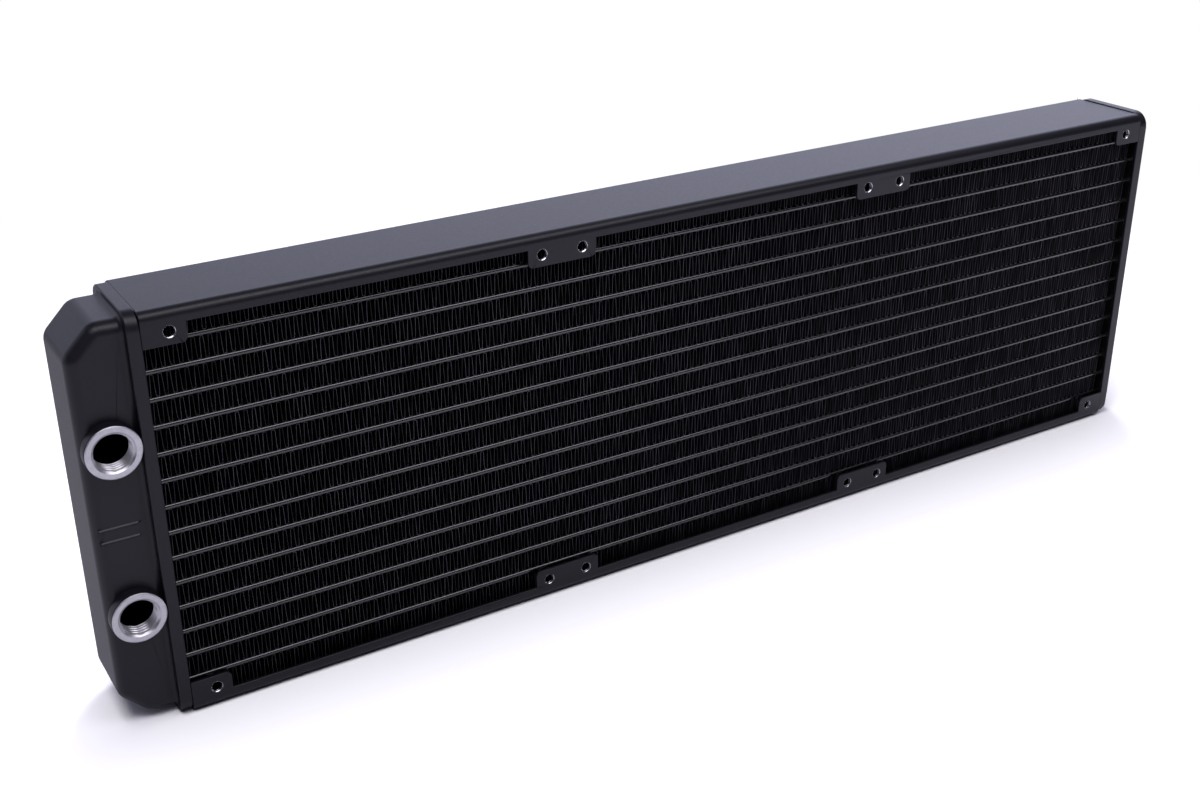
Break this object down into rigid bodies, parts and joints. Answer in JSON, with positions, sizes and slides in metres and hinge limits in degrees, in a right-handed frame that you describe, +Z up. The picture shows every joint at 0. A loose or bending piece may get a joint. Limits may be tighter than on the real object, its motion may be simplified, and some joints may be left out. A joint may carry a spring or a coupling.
{
  "type": "liquid cooling radiator",
  "caption": "Slim black liquid cooling radiator for a row of large computer fans, with a tube and fin core, side channels drilled for fans, and threaded coolant ports at one end.",
  "frame": {"origin": "centre of the middle fan's hole pattern, on the front fan seat", "axes": "+X along the length with the ports at the -X end, +Y through the depth from the front fan seat to the rear one, +Z up with the radiator standing on its long edge"},
  "size_m": [0.4536, 0.0365, 0.1392],
  "materials": {
    "channel_paint": "satin",
    "tank_paint": "satin",
    "core_paint": "satin",
    "fin_paint": "satin",
    "port_metal": "machined, nickel plated",
    "divider_brass": "mill"
  },
  "bodies": {
    "root": {"port_tank": "tank_paint", "return_tank": "tank_paint", "tank_divider": "divider_brass", "lower_port_bushing": "port_metal", "upper_port_bushing": "port_metal", "port_header": "core_paint", "return_header": "core_paint", "tube_01": "core_paint", "tube_02": "core_paint", "tube_03": "core_paint", "tube_04": "core_paint", "tube_05": "core_paint", "tube_06": "core_paint", "tube_07": "core_paint", "tube_08": "core_paint", "tube_09": "core_paint", "tube_10": "core_paint", "tube_11": "core_paint", "tube_12": "core_paint", "tube_13": "core_paint", "tube_14": "core_paint", "fin_strip_01": "fin_paint", "fin_strip_02": "fin_paint", "fin_strip_03": "fin_paint", "fin_strip_04": "fin_paint", "fin_strip_05": "fin_paint", "fin_strip_06": "fin_paint", "fin_strip_07": "fin_paint", "fin_strip_08": "fin_paint", "fin_strip_09": "fin_paint", "fin_strip_10": "fin_paint", "fin_strip_11": "fin_paint", "fin_strip_12": "fin_paint", "fin_strip_13": "fin_paint", "fin_strip_14": "fin_paint", "fin_strip_15": "fin_paint", "bottom_channel": "channel_paint", "top_channel": "channel_paint"}
  },
  "joints": []
}
